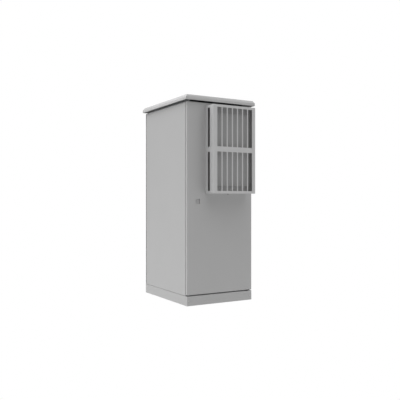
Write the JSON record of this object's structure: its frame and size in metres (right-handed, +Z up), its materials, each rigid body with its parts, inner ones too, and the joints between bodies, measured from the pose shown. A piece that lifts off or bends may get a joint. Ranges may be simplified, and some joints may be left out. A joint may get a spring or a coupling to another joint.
{
  "type": "roadside utility cabinet",
  "caption": "Free-standing outdoor cabinet on a plinth, with a bevelled roof and a door that carries a slotted cooling hood.",
  "frame": {"origin": "on the floor, at the centre of the plinth's four anchor holes", "axes": "+Z up; -Y out through the door; +X to the right for someone facing the door"},
  "size_m": [0.79, 1.113, 2],
  "materials": {
    "cabinet_paint": "light grey fine-textured powder coat",
    "hood_paint": "light grey powder coat on sheet metal",
    "inner_paint": "light grey coat, inside and in shade",
    "galvanised_steel": "zinc-coated sheet with a faint spangle",
    "rack_steel": "zinc-plated rack profile",
    "bright_zinc": "bright zinc fasteners and lock parts",
    "seal_rubber": "black cellular rubber",
    "dark_plastic": "dark moulded plastic",
    "black_enamel": "black enamel",
    "coil_aluminium": "close-pitched fins",
    "earth_brass": "bare copper-coloured bar",
    "drain_plastic": "grey plastic tube"
  },
  "bodies": {
    "cabinet": {"plinth_corner_front_left": "galvanised_steel", "plinth_corner_front_right": "galvanised_steel", "plinth_corner_rear_left": "galvanised_steel", "plinth_corner_rear_right": "galvanised_steel", "plinth_cover_front": "cabinet_paint", "plinth_cover_rear": "cabinet_paint", "plinth_cover_left": "cabinet_paint", "plinth_cover_right": "cabinet_paint", "plinth_screws": "bright_zinc", "floor_tray": "galvanised_steel", "gland_plate": "galvanised_steel", "cable_glands": "dark_plastic", "post_front_left": "galvanised_steel", "post_front_right": "galvanised_steel", "post_rear_left": "galvanised_steel", "post_rear_right": "galvanised_steel", "top_tray": "galvanised_steel", "side_panel_left": "cabinet_paint", "side_panel_right": "cabinet_paint", "rear_panel": "cabinet_paint", "rear_panel_screws": "bright_zinc", "rear_seal": "seal_rubber", "roof_cap": "cabinet_paint", "roof_rails": "galvanised_steel", "rack_rail_front_left": "rack_steel", "rack_rail_front_right": "rack_steel", "rack_rail_rear_left": "rack_steel", "rack_rail_rear_right": "rack_steel", "equipment_shelf": "rack_steel", "earth_bar": "earth_brass", "frame_bolts": "bright_zinc", "hinge_bracket_lower": "galvanised_steel", "hinge_bracket_upper": "galvanised_steel", "hinge_pin_lower": "bright_zinc", "hinge_pin_upper": "bright_zinc", "lock_keepers": "galvanised_steel"},
    "door": {"door_shell": "cabinet_paint", "door_inner_panel": "inner_paint", "door_gasket": "seal_rubber", "hinge_blocks": "black_enamel", "lock_cup": "cabinet_paint", "rod_guides": "dark_plastic", "ac_hood": "hood_paint", "ac_screws": "bright_zinc", "ac_casing": "inner_paint", "ac_front_cover": "inner_paint", "ac_inner_cover": "inner_paint", "ac_seal": "seal_rubber", "condenser_coil": "coil_aluminium", "evaporator_coil": "coil_aluminium", "compressor": "black_enamel", "condenser_motor": "black_enamel", "evaporator_motor": "black_enamel", "drain_pipe": "drain_plastic"},
    "lock": {"lock_core": "cabinet_paint", "lock_cam": "bright_zinc"},
    "rod_upper": {"lock_rod_upper": "bright_zinc"},
    "rod_lower": {"lock_rod_lower": "bright_zinc"},
    "outer_fan": {"condenser_fan": "dark_plastic"},
    "inner_fan": {"evaporator_fan": "dark_plastic"}
  },
  "joints": [
    {"name": "door_hinge", "type": "hinge", "parent": "cabinet", "child": "door", "pos_m": [0.358, -0.449, 0.103], "axis": [0, 0, 1], "range_deg": [0, 110]},
    {"name": "lock_turn", "type": "hinge", "parent": "door", "child": "lock", "pos_m": [-0.252, -0.437, 0.99], "axis": [0, -1, 0], "range_deg": [0, 90]},
    {"name": "rod_upper_slide", "type": "slide", "parent": "door", "child": "rod_upper", "axis": [0, 0, 1], "range_m": [0, 0.01838]},
    {"name": "rod_lower_slide", "type": "slide", "parent": "door", "child": "rod_lower", "axis": [0, 0, -1], "range_m": [0, 0.0184]},
    {"name": "outer_fan_spin", "type": "hinge", "parent": "door", "child": "outer_fan", "pos_m": [0.07, -0.511, 1.6], "axis": [0, 1, 0], "continuous": true},
    {"name": "inner_fan_spin", "type": "hinge", "parent": "door", "child": "inner_fan", "pos_m": [0.07, -0.427, 1.29], "axis": [0, 1, 0], "continuous": true}
  ],
  "couplings": [
    {"joint": "lock_turn", "follows": "rod_upper_slide", "rad_per_m": 85.44},
    {"joint": "rod_lower_slide", "follows": "rod_upper_slide", "ratio": 1}
  ]
}
